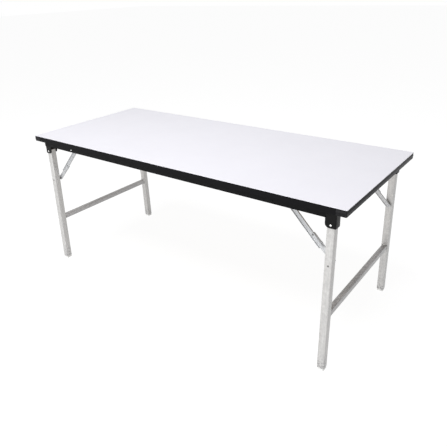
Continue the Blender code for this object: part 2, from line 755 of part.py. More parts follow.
def add_upper_link(side, row, spot, axis):
    """Channel open to the leg side, with a tail past the knee that carries the stop."""
    place = link_place(side, row, STAY_TOP, KNEE)
    half = UPPER_WIDTH / 2
    knee_at = math.dist(STAY_TOP, KNEE)
    tail = knee_at + UPPER_TAIL
    mesh = bmesh.new()
    prism(mesh, round_ended(0, tail, half), STAY_PLANE_Y, UPPER_FRONT, place)
    link = add_object(f"upper_link_{spot}", mesh, stay_steel(), axis)

    mesh = bmesh.new()
    inner = half - LINK_SHEET
    hollow = rectangle(-UPPER_WIDTH, tail + UPPER_WIDTH, -inner, inner)
    prism(mesh, hollow, UPPER_WEB_FRONT, UPPER_FRONT + LINK_SHEET, place)
    add_tool(link, f"upper_hollow_{spot}", mesh, "DIFFERENCE")

    mesh = bmesh.new()
    for centre in ((0, 0), (knee_at, 0)):
        rod(mesh, centre, RIVET_RADIUS + GAP, LOWER_WEB_BACK, UPPER_FRONT, place)
    add_tool(link, f"upper_holes_{spot}", mesh, "DIFFERENCE")

    stop_end = tail - STOP_FROM_END
    upper_slope = math.atan2(STAY_TOP[1] - KNEE[1], KNEE[0] - STAY_TOP[0])
    lower_slope = math.atan2(KNEE[1] - STAY_FOOT[1], STAY_FOOT[0] - KNEE[0])
    bend = upper_slope - lower_slope
    stop_face = LOWER_WIDTH / 2 + (stop_end - knee_at) * math.tan(bend) + GAP
    section = [
        (inner, UPPER_WEB_FRONT),
        (inner, STAY_PLANE_Y),
        (stop_face, STAY_PLANE_Y),
        (stop_face, LOWER_BACK),
        (stop_face + LINK_SHEET, LOWER_BACK),
        (stop_face + LINK_SHEET, UPPER_WEB_FRONT),
    ]
    mesh = bmesh.new()
    prism(mesh, section, stop_end - STOP_LENGTH, stop_end, lambda a, b, c: place(c, a, b))
    add_tool(link, f"upper_stop_{spot}", mesh, "UNION")


def add_lower_link(side, row, spot, axis):
    """Narrower channel behind the upper link, open to the middle of the table."""
    place = link_place(side, row, KNEE, STAY_FOOT)
    half = LOWER_WIDTH / 2
    reach = math.dist(KNEE, STAY_FOOT)
    mesh = bmesh.new()
    prism(mesh, round_ended(0, reach, half), LOWER_BACK, LOWER_FACE, place)
    link = add_object(f"lower_link_{spot}", mesh, stay_steel(), axis)

    mesh = bmesh.new()
    inner = half - LINK_SHEET
    hollow = rectangle(-LOWER_WIDTH, reach + LOWER_WIDTH, -inner, inner)
    prism(mesh, hollow, LOWER_BACK - LINK_SHEET, LOWER_WEB_BACK, place)
    add_tool(link, f"lower_hollow_{spot}", mesh, "DIFFERENCE")

    mesh = bmesh.new()
    rod(mesh, (0, 0), RIVET_RADIUS + GAP, LOWER_BACK, UPPER_WEB_FRONT, place)
    add_tool(link, f"lower_hole_{spot}", mesh, "DIFFERENCE")

    mesh = bmesh.new()
    inside_web = LOWER_WEB_BACK + LINK_SHEET / 2
    profile = [(0, inside_web), (RIVET_HEAD_RADIUS, inside_web)]
    profile += dome(RIVET_HEAD_RADIUS, HEAD_HEIGHT, LOWER_WEB_BACK, -1)
    turned(mesh, profile, (reach, 0), place)
    add_tool(link, f"lower_rivet_tail_{spot}", mesh, "UNION")


def add_stays():
    """Four locking stays, each of two links."""
    for side_name, side in SIDES.items():
        for row_name, row in ROWS.items():
            spot = f"{row_name}_{side_name}"
            top_axis = add_axis(f"stay_axis_{spot}", side * STAY_TOP[0], row * STAY_PLANE_Y, STAY_TOP[1])
            knee_axis = add_axis(f"knee_axis_{spot}", side * KNEE[0], row * STAY_PLANE_Y, KNEE[1])
            add_upper_link(side, row, spot, top_axis)
            mesh = bmesh.new()
            rivet(mesh, KNEE, RIVET_RADIUS, RIVET_HEAD_RADIUS, HEAD_HEIGHT,
                  LOWER_WEB_BACK, UPPER_WEB_FRONT, across(side, row))
            add_object(f"knee_rivet_{spot}", mesh, rivet_steel(), top_axis)
            add_lower_link(side, row, spot, knee_axis)


def main():
    for made in list(bpy.data.objects):
        bpy.data.objects.remove(made, do_unlink=True)
    add_top()
    add_edge_strips()
    add_end_mouldings()
    add_rails()
    add_cross_members()
    add_anchors()
    add_brackets()
    add_fixed_fasteners()
    add_leg_frames()
    add_stays()


main()
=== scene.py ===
"""Studio picture of the folding table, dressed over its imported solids."""
import json
import math

import bmesh
import bpy
from mathutils import Matrix, Vector
from mathutils.geometry import convex_hull_2d

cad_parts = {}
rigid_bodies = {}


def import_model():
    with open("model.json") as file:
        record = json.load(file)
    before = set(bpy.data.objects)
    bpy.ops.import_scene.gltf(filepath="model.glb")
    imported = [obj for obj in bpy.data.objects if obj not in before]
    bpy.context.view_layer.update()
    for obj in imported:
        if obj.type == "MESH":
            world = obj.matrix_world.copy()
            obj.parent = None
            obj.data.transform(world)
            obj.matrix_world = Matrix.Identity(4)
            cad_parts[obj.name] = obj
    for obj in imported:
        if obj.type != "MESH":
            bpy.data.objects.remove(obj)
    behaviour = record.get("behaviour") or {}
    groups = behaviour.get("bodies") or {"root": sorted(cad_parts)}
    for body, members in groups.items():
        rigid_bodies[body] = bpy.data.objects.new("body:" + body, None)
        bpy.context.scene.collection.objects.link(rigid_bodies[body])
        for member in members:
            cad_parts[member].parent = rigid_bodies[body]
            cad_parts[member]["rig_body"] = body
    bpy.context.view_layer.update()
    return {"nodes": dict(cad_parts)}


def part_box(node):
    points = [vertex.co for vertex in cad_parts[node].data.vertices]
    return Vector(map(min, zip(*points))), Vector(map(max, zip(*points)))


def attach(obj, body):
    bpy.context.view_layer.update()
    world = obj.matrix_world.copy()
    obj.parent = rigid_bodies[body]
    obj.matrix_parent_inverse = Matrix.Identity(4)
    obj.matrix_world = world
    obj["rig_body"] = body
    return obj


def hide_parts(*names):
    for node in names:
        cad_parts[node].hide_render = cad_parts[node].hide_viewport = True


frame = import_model()

MM = 0.001

# Camera, found by fitting the table's corners, legs and feet
SENSOR_WIDTH = 36.0
LENS = 39.47
LENS_SHIFT = (0.0031, -0.0494)
CAMERA_PLACE = (1.4715, -1.8446, 1.4734)
CAMERA_TURN_DEG = (66.100, 1.683, 36.254)

# Studio. The floor glows at one strength as the lens sees it, and at a lower one as a light
FLOOR_SIZE = 60.0
FLOOR_COLOUR = "#7C7C7C"
FLOOR_SEEN = 0.91
FLOOR_GLOW = 0.54
FLOOR_ROUGHNESS = 0.9
WORLD_LIGHT = 0.30
WHITE = (1, 1, 1, 1)
LAMPS = (
    # name, place, aimed at, size across and up, watts
    ("front_softbox", (-1.6, -9.2, 1.1), (0, 0, 0.5), (5.0, 2.2), 310),
    ("overhead_softbox", (-0.05, -1.55, 3.9), (0, 0, 0.7), (2.8, 2.0), 115),
    ("side_softbox", (9.0, -2.0, 1.6), (0, 0, 0.4), (4.0, 2.6), 5),
)

# The sRGB curve: a straight foot up to a knee, then a power
SRGB_KNEE = 0.04045
SRGB_SLOPE = 12.92
SRGB_OFFSET = 0.055
SRGB_POWER = 2.4
FULL_CHANNEL = 255

# Sockets of the Mix and Random Value nodes by number, because one name stands for several there
MIX_SHARE = 0
MIX_NUMBER_A = 2
MIX_NUMBER_B = 3
MIX_COLOUR_A = 6
MIX_COLOUR_B = 7
MIXED_NUMBER = 0
MIXED_COLOUR = 2
RANDOM_LOW = 2
RANDOM_HIGH = 3
RANDOM_NUMBER = 1

# Soft lumps of the finishes. The shader's own specular level stands where a finish gives none
PLAIN_SPECULAR = 0.5
LUMP_DETAIL = 4
LUMP_RANGE = (0.3, 0.7)
LAYER_SHARE = 0.5

# Scuffs at the low ends of the legs and burnt spots at the ends of the crossbars, in mm
SPOT_RANGE = (0.46, 0.60)
SPOT_SHARE = 0.8
SCUFF_HEIGHT = 90
SCUFF_SIZE = 9
BURN_REACH = 14
BURN_SIZE = 6

# Edges of the finished pieces
TOP_EDGE = 0.30 * MM
PLASTIC_EDGE = 0.40 * MM
SHEET_EDGE = 0.45 * MM
TUBE_EDGE = 0.35 * MM
CAP_EDGE = 0.60 * MM
EDGE_STEPS = 2
SHARP_ANGLE_DEG = 32
MERGE_DISTANCE = 0.01 * MM
SLIVER = 0.002 * MM
FLAT_ANGLE_DEG = 0.5

# Rivets and pins, whose places and outer sizes come from their solids
RIVET_SIDES = 32
DOME_RINGS = 16
HEAD_HEIGHT = 1.8 * MM
RAIL_HEAD_HEIGHT = 1.4 * MM
TURNED_OVER = (math.pi, 0, 0)
QUARTER_TURN = math.pi / 2
MATRIX_SIZE = 4
PIN_SHANK = 3.0 * MM
RIVET_SHANK = 2.5 * MM
SHOULDER_RADIUS = 4.5 * MM
FOOT_PIN_HEAD_RADIUS = 4.0 * MM
LEG_SIZE = 32 * MM

# Cross-recess screws under the board
GAP = 0.3 * MM
SCREW_HEAD_RADIUS = 4.0 * MM
SCREW_HEAD_HEIGHT = 1.8 * MM
RECESS_SPAN = 4.6 * MM
RECESS_WIDTH = 1.0 * MM
RECESS_DEPTH = 1.1 * MM
SCREW_TURN_SEED = 7
BRACKET_SHEET = 2.5 * MM
BRACKET_FLANGE = 16 * MM
BRACKET_SCREW_INSET = 10 * MM
BRACKET_SCREW_SPREAD = 22 * MM
RAIL_SHEET = 1.2 * MM
RAIL_SCREWS = 5
RAIL_SCREW_FROM_END = 99.5 * MM
RAIL_SCREW_FROM_FACE = 21 * MM

# Weld beads round the ends of the crossbars and down the feet of the stay anchors
BEAD_RADIUS = 2.1 * MM
BEAD_RIPPLE_SHARE = 0.22
BEAD_RIPPLE_LENGTH = 1.9 * MM
BEAD_POINTS_PER_RIPPLE = 5
BEAD_SIDES = 8
BEAD_WANDER_SHARE = 0.30
BEAD_WANDER_LENGTH = 9 * MM
BEAD_LEAST_SHARE = 0.75
ANCHOR_SEAM_SHORT = 4 * MM
PLACE_DIGITS = 6

# Front and back row of legs, by the sign of Y, and the two ends of the table
ROWS = (-1, 1)
SIDES = ("left", "right")


def linear(channel):
    """One sRGB channel turned to linear light."""
    if channel <= SRGB_KNEE:
        return channel / SRGB_SLOPE
    return ((channel + SRGB_OFFSET) / (1 + SRGB_OFFSET)) ** SRGB_POWER


def colour(code):
    """Colour for a shader from an sRGB hex code."""
    channels = [value / FULL_CHANNEL for value in bytes.fromhex(code.lstrip("#"))]
    return (*[linear(channel) for channel in channels], 1)


def add_node(tree, kind, links=None, **settings):
    """Add a node. links gives its inputs, each as a value, an output socket or a list of them."""
    node = tree.nodes.new(kind)
    for name, value in settings.items():
        setattr(node, name, value)
    for name, value in (links or {}).items():
        sockets = value if isinstance(value, list) else [value]
        for given in sockets:
            if isinstance(given, bpy.types.NodeSocket):
                tree.links.new(given, node.inputs[name])
            else:
                node.inputs[name].default_value = given
    return node


def new_finish(name, base, metallic, roughness, specular=PLAIN_SPECULAR):
    """Material with one principled shader, set to what is the same all over it."""
    made = bpy.data.materials.new(name)
    made.use_nodes = True
    shader = made.node_tree.nodes["Principled BSDF"]
    shader.inputs["Base Color"].default_value = colour(base)
    shader.inputs["Metallic"].default_value = metallic
    shader.inputs["Roughness"].default_value = roughness
    shader.inputs["Specular IOR Level"].default_value = specular
    return made


def mottle(made, *lumps, tones=None, gloss=None, relief=None):
    """Let colour, gloss or relief follow one layer of soft lumps, or several blended.

    Each layer is given by its lumps' size in mm, all round or along X, Y and Z. Relief is its depth
    in mm and its strength.
    """
    tree = made.node_tree
    shader = tree.nodes["Principled BSDF"]
    place = add_node(tree, "ShaderNodeTexCoord").outputs["Object"]
    pattern = None
    for lump in lumps:
        sizes = lump if isinstance(lump, tuple) else (lump, lump, lump)
        scaled = add_node(tree, "ShaderNodeMapping", {
            "Vector": place, "Scale": tuple(1 / (size * MM) for size in sizes),
        })
        layer = add_node(tree, "ShaderNodeTexNoise", {
            "Vector": scaled.outputs["Vector"], "Scale": 1, "Detail": LUMP_DETAIL,
        }).outputs["Fac"]
        if pattern:
            layer = add_node(tree, "ShaderNodeMix", {
                MIX_SHARE: LAYER_SHARE, MIX_NUMBER_A: pattern, MIX_NUMBER_B: layer,
            }).outputs[MIXED_NUMBER]
        pattern = layer
    low, high = LUMP_RANGE
    evened = add_node(tree, "ShaderNodeMapRange", {
        "Value": pattern, "From Min": low, "From Max": high,
    }).outputs["Result"]
    if tones:
        dark, pale = (colour(code) for code in tones)
        toned = add_node(tree, "ShaderNodeMix", {
            MIX_SHARE: evened, MIX_COLOUR_A: dark, MIX_COLOUR_B: pale,
        }, data_type="RGBA")
        tree.links.new(toned.outputs[MIXED_COLOUR], shader.inputs["Base Color"])
    if gloss:
        smooth, rough = gloss
        ranged = add_node(tree, "ShaderNodeMapRange", {
            "Value": evened, "To Min": smooth, "To Max": rough,
        })
        tree.links.new(ranged.outputs["Result"], shader.inputs["Roughness"])
    if relief:
        depth, strength = relief
        raised = add_node(tree, "ShaderNodeBump", {
            "Height": evened, "Distance": depth * MM, "Strength": strength,
        })
        tree.links.new(raised.outputs["Normal"], shader.inputs["Normal"])


def melamine_laminate():
    # Melamine laminate, pressed: satin white with a trace of violet, over a very fine pebble
    made = new_finish("melamine_laminate", "#EBEAF1", metallic=0, roughness=0.38, specular=0.30)
    mottle(made, 170, tones=("#EAE9F0", "#ECEBF2"))
    mottle(made, 45, gloss=(0.34, 0.44))
    # The real pebble is about 0.3 mm, drawn at 1.2 mm so that it shows
    mottle(made, 1.2, relief=(0.10, 0.12))
    return made


def extruded_pvc():
    # Black PVC edging, extruded: dull, faintly streaked along its length by the die
    made = new_finish("extruded_pvc", "#111112", metallic=0, roughness=0.48, specular=0.06)
    mottle(made, (60, 5, 1.5), tones=("#0C0C0D", "#18181A"))
    mottle(made, 9, gloss=(0.40, 0.56))
    # The real grain is about 0.2 mm, drawn at 0.9 mm so that it shows
    mottle(made, 0.9, relief=(0.15, 0.22))
    return made


def moulded_pvc():
    # Black PVC end moulding, injected into a tool: a little greyer than the edging, with a soft sheen
    made = new_finish("moulded_pvc", "#1E1E20", metallic=0, roughness=0.48, specular=0.12)
    mottle(made, 30, tones=("#19191B", "#242426"))
    mottle(made, 7, gloss=(0.42, 0.54))
    # The real grain is about 0.2 mm, drawn at 0.9 mm so that it shows
    mottle(made, 0.9, relief=(0.08, 0.15))
    return made


def black_enamel():
    # Black enamel, dipped and stoved on roll-formed steel: deep and rather dull, with soft ripples
    # about 2 mm across where it ran
    made = new_finish("black_enamel", "#0F0F10", metallic=0, roughness=0.46, specular=0.07)
    mottle(made, 26, tones=("#0A0A0B", "#151516"))
    mottle(made, 10, gloss=(0.38, 0.54))
    mottle(made, 2, relief=(0.15, 0.20))
    return made


def black_powder_coat():
    # Black powder coat, baked on pressed steel: half gloss, with an orange peel about 1.6 mm across
    made = new_finish("black_powder_coat", "#0E0E0F", metallic=0, roughness=0.40, specular=0.13)
    mottle(made, 22, tones=("#090909", "#111112"))
    mottle(made, 12, gloss=(0.34, 0.48))
    mottle(made, 1.6, relief=(0.20, 0.22))
    return made


def galvanised_tube(name, streak, spangle, tones):
    # Galvanised square tube, drawn through a die: pale zinc, half dull, with streaks along the
    # tube and the cloudy spangle of the zinc bath. Real streaks are about 1 mm wide, drawn at 4 mm
    # so that they show
    made = new_finish(name, tones[1], metallic=0.35, roughness=0.40)
    mottle(made, streak, spangle, tones=tones, gloss=(0.33, 0.47))
    mottle(made, streak, relief=(0.05, 0.15))
    return made


def add_spots(made, axis, clean, worn, size, tone):
    """Spots of a size in mm, that thicken along an axis from a clean to a worn place in mm."""
    tree = made.node_tree
    shader = tree.nodes["Principled BSDF"]
    place = add_node(tree, "ShaderNodeTexCoord").outputs["Object"]
    split = add_node(tree, "ShaderNodeSeparateXYZ", {"Vector": place})
    distance = add_node(tree, "ShaderNodeMath", {0: split.outputs[axis]}, operation="ABSOLUTE")
    nearness = add_node(tree, "ShaderNodeMapRange", {
        "Value": distance.outputs[0], "From Min": clean * MM, "From Max": worn * MM,
        "To Max": SPOT_SHARE,
    })
    lumps = add_node(tree, "ShaderNodeTexNoise", {
        "Vector": place, "Scale": 1 / (size * MM), "Detail": LUMP_DETAIL,
    })
    low, high = SPOT_RANGE
    marks = add_node(tree, "ShaderNodeMapRange", {
        "Value": lumps.outputs["Fac"], "From Min": low, "From Max": high,
        "To Max": nearness.outputs["Result"],
    })
    under = shader.inputs["Base Color"].links[0].from_socket
    spotted = add_node(tree, "ShaderNodeMix", {
        MIX_SHARE: marks.outputs["Result"], MIX_COLOUR_A: under, MIX_COLOUR_B: colour(tone),
    }, data_type="RGBA")
    tree.links.new(spotted.outputs[MIXED_COLOUR], shader.inputs["Base Color"])


def galvanised_leg():
    # Galvanised square tube, stood on many floors: its low end is scuffed by shoes and mops
    made = galvanised_tube("galvanised_leg", (4, 4, 130), 12, ("#B9B8B7", "#D8D7D5"))
    add_spots(made, "Z", clean=SCUFF_HEIGHT, worn=0, size=SCUFF_SIZE, tone="#77767A")
    return made


def galvanised_crossbar():
    # Galvanised square tube, lying across: toned greyer than the legs as painted shade, standing in
    # for the board's shadow and the dark underside that its top reflects. The heat of the welds has
    # burnt its ends in dark spots
    made = galvanised_tube("galvanised_crossbar", (4, 90, 4), 16, ("#9A999A", "#CECDCD"))
    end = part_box("crossbar_right")[1].y / MM
    add_spots(made, "Y", clean=end - BURN_REACH, worn=end, size=BURN_SIZE, tone="#4A4846")
    return made


def zinc_plate():
    # Zinc plate on pressed steel strip: cool grey, lightly clouded by the bath
    made = new_finish("zinc_plate", "#CDCED0", metallic=0.14, roughness=0.48)
    mottle(made, 7, tones=("#C2C4C6", "#D8D9DB"), gloss=(0.42, 0.56))
    # The strip's rolled grain is about 0.3 mm, drawn at 1.4 mm so that it shows
    mottle(made, 1.4, relief=(0.05, 0.15))
    return made


def bright_rivet_steel():
    # Bare rivet head, polished by the setting tool: bright, with light scuffs about 1.5 mm across
    made = new_finish("bright_rivet_steel", "#E4E4E2", metallic=0.80, roughness=0.26)
    mottle(made, 1.5, tones=("#D8D8D6", "#EDEDEB"), gloss=(0.20, 0.34))
    return made


def dull_rivet_steel():
    # Rivet head in dark grey, with a dull gleam, mottled in patches
    # about 1.5 mm across
    made = new_finish("dull_rivet_steel", "#6E6E6B", metallic=0.60, roughness=0.46)
    mottle(made, 1.5, tones=("#585856", "#828280"), gloss=(0.38, 0.54))
    return made


def weld_metal():
    # Weld bead under brushed-on zinc paint: rough with spatter of about 0.8 mm, and mottled from
    # burnt grey to silver in patches of about 8 mm. The palest, near-white patches are partly painted
    # highlight, for the light that the bead catches
    made = new_finish("weld_metal", "#A9A8A4", metallic=0.45, roughness=0.42)
    mottle(made, 8, tones=("#3A3937", "#FBFBF9"), gloss=(0.30, 0.60))
    mottle(made, 0.8, relief=(0.10, 0.35))
    return made


def moulded_cap():
    # Polyethylene foot cap, moulded: milky white and waxy, scuffed a little grey
    made = new_finish("moulded_cap", "#F5F5F4", metallic=0, roughness=0.48)
    mottle(made, 6, tones=("#EEEEEC", "#FCFCFB"), gloss=(0.42, 0.56))
    # The tool's grain is about 0.2 mm, drawn at 1 mm so that it shows
    mottle(made, 1, relief=(0.10, 0.20))
    return made


def kraft_backing():
    # Kraft paper glued under the board: brown and matt, with its fibre lying lengthwise. Real fibre
    # is about 3 mm long, drawn at 10 mm so that it shows
    made = new_finish("kraft_backing", "#AF9C84", metallic=0, roughness=0.78)
    mottle(made, (10, 2.5, 2.5), tones=("#A28E75", "#BCAA93"), relief=(0.10, 0.20))
    return made


def pressed_chips():
    # Particle board, pressed from chips of about 3 mm: pale brown of many tones, seen only inside
    # its screw holes
    made = new_finish("pressed_chips", "#B5966B", metallic=0, roughness=0.85)
    mottle(made, 3, tones=("#8F7247", "#C9AC80"), relief=(0.30, 0.40))
    return made


FINISHES = {finish.__name__: finish() for finish in (
    melamine_laminate,
    extruded_pvc,
    moulded_pvc,
    black_enamel,
    black_powder_coat,
    galvanised_leg,
    galvanised_crossbar,
    zinc_plate,
    bright_rivet_steel,
    dull_rivet_steel,
    weld_metal,
    moulded_cap,
    kraft_backing,
    pressed_chips,
)}

# Start of the node's name: finish, record slot, edge radius. At zero the node keeps its own mesh
DRESS = {
    "top_laminate": ("melamine_laminate", "white_laminate", TOP_EDGE),
    "top_board": ("pressed_chips", "particle_board", 0),
    "backing_sheet": ("kraft_backing", "backing_sheet", 0),
    "edge_strip": ("extruded_pvc", "black_edging", PLASTIC_EDGE),
    "end_moulding": ("moulded_pvc", "black_edging", PLASTIC_EDGE),
    "rail": ("black_enamel", "black_steel", SHEET_EDGE),
    "cross_member": ("black_enamel", "black_steel", SHEET_EDGE),
    "hinge_bracket": ("black_powder_coat", "black_steel", SHEET_EDGE),
    "stay_anchor": ("black_powder_coat", "black_steel", SHEET_EDGE),
    "leg_tube": ("galvanised_leg", "galvanised_tube", TUBE_EDGE),
    "crossbar": ("galvanised_crossbar", "galvanised_tube", TUBE_EDGE),
    "foot_cap": ("moulded_cap", "cap_plastic", CAP_EDGE),
    "upper_link": ("zinc_plate", "zinc_steel", SHEET_EDGE),
    "lower_link": ("zinc_plate", "zinc_steel", SHEET_EDGE),
}

# Start of a rivet's or pin's name: finish, head height, shank radius, shoulder radius or zero
RIVETS = {
    "hinge_pin": ("bright_rivet_steel", HEAD_HEIGHT, PIN_SHANK, 0),
    "stay_top_rivet": ("bright_rivet_steel", HEAD_HEIGHT, RIVET_SHANK, 0),
    "knee_rivet": ("dull_rivet_steel", HEAD_HEIGHT, RIVET_SHANK, 0),
    "stay_foot_pin": ("dull_rivet_steel", HEAD_HEIGHT, RIVET_SHANK, SHOULDER_RADIUS),
    "cross_member_rivet": ("black_enamel", RAIL_HEAD_HEIGHT, RIVET_SHANK, 0),
    "cross_member_rivet_front_left": ("bright_rivet_steel", RAIL_HEAD_HEIGHT, RIVET_SHANK, 0),
}


def longest_match(table, node):
    """Entry whose key is the longest that starts the node's name, or None."""
    fitting = [key for key in table if node.startswith(key)]
    return table[max(fitting, key=len)] if fitting else None


def board_underside():
    """Height where the steel under the board begins."""
    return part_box("backing_sheet")[0].z - GAP


def bracket_screw_places(node):
    """Plan places of the screws through a bracket's flanges."""
    low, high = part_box(node)
    side = math.copysign(1, low.x)
    open_x = min(abs(low.x), abs(high.x))
    first = open_x + BRACKET_SCREW_INSET
    return [
        (side * x, y)
        for x in (first, first + BRACKET_SCREW_SPREAD)
        for y in (low.y + BRACKET_FLANGE / 2, high.y - BRACKET_FLANGE / 2)
    ]


def rail_screw_places(node):
    """Plan places of the screws through a rail's top flange."""
    low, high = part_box(node)
    row = math.copysign(1, low.y)
    y = row * (max(abs(low.y), abs(high.y)) - RAIL_SCREW_FROM_FACE)
    last = high.x - RAIL_SCREW_FROM_END
    step = 2 * last / (RAIL_SCREWS - 1)
    return [(i * step - last, y) for i in range(RAIL_SCREWS)]


def screws_of(node):
    """Plan places of a node's screws and the height that their heads bear on."""
    if node.startswith("hinge_bracket"):
        return bracket_screw_places(node), board_underside() - BRACKET_SHEET
    if node.startswith("rail"):
        return rail_screw_places(node), board_underside() - RAIL_SHEET
    return [], 0


def clear_screw_heads(work, node):
    """Take the plain screw heads off a copy, and close the sheet where they were."""
    places, seat = screws_of(node)
    reach = SCREW_HEAD_RADIUS + MERGE_DISTANCE
    heads = [
        point for point in work.verts
        if point.co.z < seat - MERGE_DISTANCE
        and point.co.z > seat - SCREW_HEAD_HEIGHT - MERGE_DISTANCE
        and any(math.dist(point.co[:2], place) < reach for place in places)
    ]
    bmesh.ops.delete(work, geom=heads, context="VERTS")
    bmesh.ops.holes_fill(work, edges=[edge for edge in work.edges if edge.is_boundary])


def finish_copy(node, finish, edge):
    """Copy of a CAD node with its flats joined and its edges rounded."""
    mesh = frame["nodes"][node].data.copy()
    mesh.name = f"{node}_finished"
    work = bmesh.new()
    work.from_mesh(mesh)
    bmesh.ops.remove_doubles(work, verts=work.verts, dist=MERGE_DISTANCE)
    clear_screw_heads(work, node)
    bmesh.ops.dissolve_limit(work, angle_limit=math.radians(FLAT_ANGLE_DEG),
                             verts=work.verts, edges=work.edges)
    work.to_mesh(mesh)
    work.free()
    mesh.materials.clear()
    mesh.materials.append(FINISHES[finish])
    shade(mesh)
    piece = bpy.data.objects.new(f"{node}_finished", mesh)
    bpy.context.collection.objects.link(piece)
    rounding = piece.modifiers.new("rounded edges", "BEVEL")
    rounding.width = edge
    rounding.segments = EDGE_STEPS
    rounding.limit_method = "ANGLE"
    rounding.angle_limit = math.radians(SHARP_ANGLE_DEG)
    rounding.harden_normals = True
    keep_shape(piece, rounding)
    return piece


def keep_shape(piece, step):
    """Turn what a modifier makes into the piece's own plain mesh, without slivers."""
    bpy.context.view_layer.update()
    evaluated = piece.evaluated_get(bpy.context.evaluated_depsgraph_get())
    mesh = bpy.data.meshes.new_from_object(evaluated)
    piece.modifiers.remove(step)
    work = bmesh.new()
    work.from_mesh(mesh)
    bmesh.ops.remove_doubles(work, verts=work.verts, dist=SLIVER)
    bmesh.ops.dissolve_degenerate(work, dist=SLIVER, edges=work.edges)
    work.to_mesh(mesh)
    work.free()
    piece.data = mesh


def shade(mesh):
    """Smooth shading, broken at the true edges."""
    mesh.polygons.foreach_set("use_smooth", [True] * len(mesh.polygons))
    mesh.set_sharp_from_angle(angle=math.radians(SHARP_ANGLE_DEG))


def start_shape(name, labels):
    """Geometry tree with a named input for each size, and its group input node."""
    tree = bpy.data.node_groups.new(name, "GeometryNodeTree")
    tree.interface.new_socket("Geometry", in_out="INPUT", socket_type="NodeSocketGeometry")
    for label in labels:
        tree.interface.new_socket(label, in_out="INPUT", socket_type="NodeSocketFloat")
    tree.interface.new_socket("Finish", in_out="INPUT", socket_type="NodeSocketMaterial")
    tree.interface.new_socket("Geometry", in_out="OUTPUT", socket_type="NodeSocketGeometry")
    return tree, add_node(tree, "NodeGroupInput").outputs


def end_shape(tree, given, geometry):
    """Realized and given its finish."""
    real = add_node(tree, "GeometryNodeRealizeInstances", {"Geometry": geometry})
    dressed = add_node(tree, "GeometryNodeSetMaterial", {
        "Geometry": real.outputs["Geometry"], "Material": given["Finish"],
    })
    add_node(tree, "NodeGroupOutput", {"Geometry": dressed.outputs["Geometry"]})
    return tree


def domed_head(tree, radius, height, seat, turn=(0, 0, 0)):
    """Domed head seated at a height, facing up unless it is turned over."""
    # A ball of radius one, flattened below its middle and then pressed to size
    ball = add_node(tree, "GeometryNodeMeshUVSphere", {
        "Segments": RIVET_SIDES, "Rings": DOME_RINGS, "Radius": 1,
    })
    position = add_node(tree, "GeometryNodeInputPosition")
    half = add_node(tree, "ShaderNodeVectorMath", {
        0: position.outputs["Position"], 1: (-1, -1, 0),
    }, operation="MAXIMUM")
    size = add_node(tree, "ShaderNodeCombineXYZ", {"X": radius, "Y": radius, "Z": height})
    pressed = add_node(tree, "ShaderNodeVectorMath", {
        0: half.outputs["Vector"], 1: size.outputs["Vector"],
    }, operation="MULTIPLY")
    head = add_node(tree, "GeometryNodeSetPosition", {
        "Geometry": ball.outputs["Mesh"], "Position": pressed.outputs["Vector"],
    })
    up = add_node(tree, "ShaderNodeCombineXYZ", {"Z": seat})
    return add_node(tree, "GeometryNodeTransform", {
        "Geometry": head.outputs["Geometry"], "Translation": up.outputs["Vector"], "Rotation": turn,
    }).outputs["Geometry"]


def round_bar(tree, radius, low, high):
    """Round bar between two heights."""
    depth = add_node(tree, "ShaderNodeMath", {0: high, 1: low}, operation="SUBTRACT")
    whole = add_node(tree, "ShaderNodeMath", {0: high, 1: low}, operation="ADD")
    middle = add_node(tree, "ShaderNodeMath", {0: whole.outputs[0], 1: 2}, operation="DIVIDE")
    made = add_node(tree, "GeometryNodeMeshCylinder", {
        "Vertices": RIVET_SIDES, "Radius": radius, "Depth": depth.outputs[0],
    })
    up = add_node(tree, "ShaderNodeCombineXYZ", {"Z": middle.outputs[0]})
    return add_node(tree, "GeometryNodeTransform", {
        "Geometry": made.outputs["Mesh"], "Translation": up.outputs["Vector"],
    }).outputs["Geometry"]


def rivet_shape():
    """Rivet along Z from zero to its length, with a domed head at both ends."""
    tree, given = start_shape("domed_rivet", ("Head Radius", "Head Height", "Shank Radius", "Length"))
    radius, height = given["Head Radius"], given["Head Height"]
    seat = add_node(tree, "ShaderNodeMath", {0: given["Length"], 1: height}, operation="SUBTRACT")
    seat = seat.outputs[0]
    parts = [
        domed_head(tree, radius, height, seat),
        domed_head(tree, radius, height, height, TURNED_OVER),
        round_bar(tree, given["Shank Radius"], height, seat),
    ]
    joined = add_node(tree, "GeometryNodeJoinGeometry", {"Geometry": parts})
    return end_shape(tree, given, joined.outputs["Geometry"])


def pin_shape():
    """Stay foot pin along Z: a shoulder from zero, a shank, and a domed head at its length."""
    tree, given = start_shape("shouldered_pin", (
        "Head Radius", "Head Height", "Shank Radius", "Length", "Shoulder Radius", "Shoulder Length",
    ))
    height, shoulder = given["Head Height"], given["Shoulder Length"]
    seat = add_node(tree, "ShaderNodeMath", {0: given["Length"], 1: height}, operation="SUBTRACT")
    seat = seat.outputs[0]
    parts = [
        domed_head(tree, given["Head Radius"], height, seat),
        round_bar(tree, given["Shank Radius"], shoulder, seat),
        round_bar(tree, given["Shoulder Radius"], 0, shoulder),
    ]
    joined = add_node(tree, "GeometryNodeJoinGeometry", {"Geometry": parts})
    return end_shape(tree, given, joined.outputs["Geometry"])


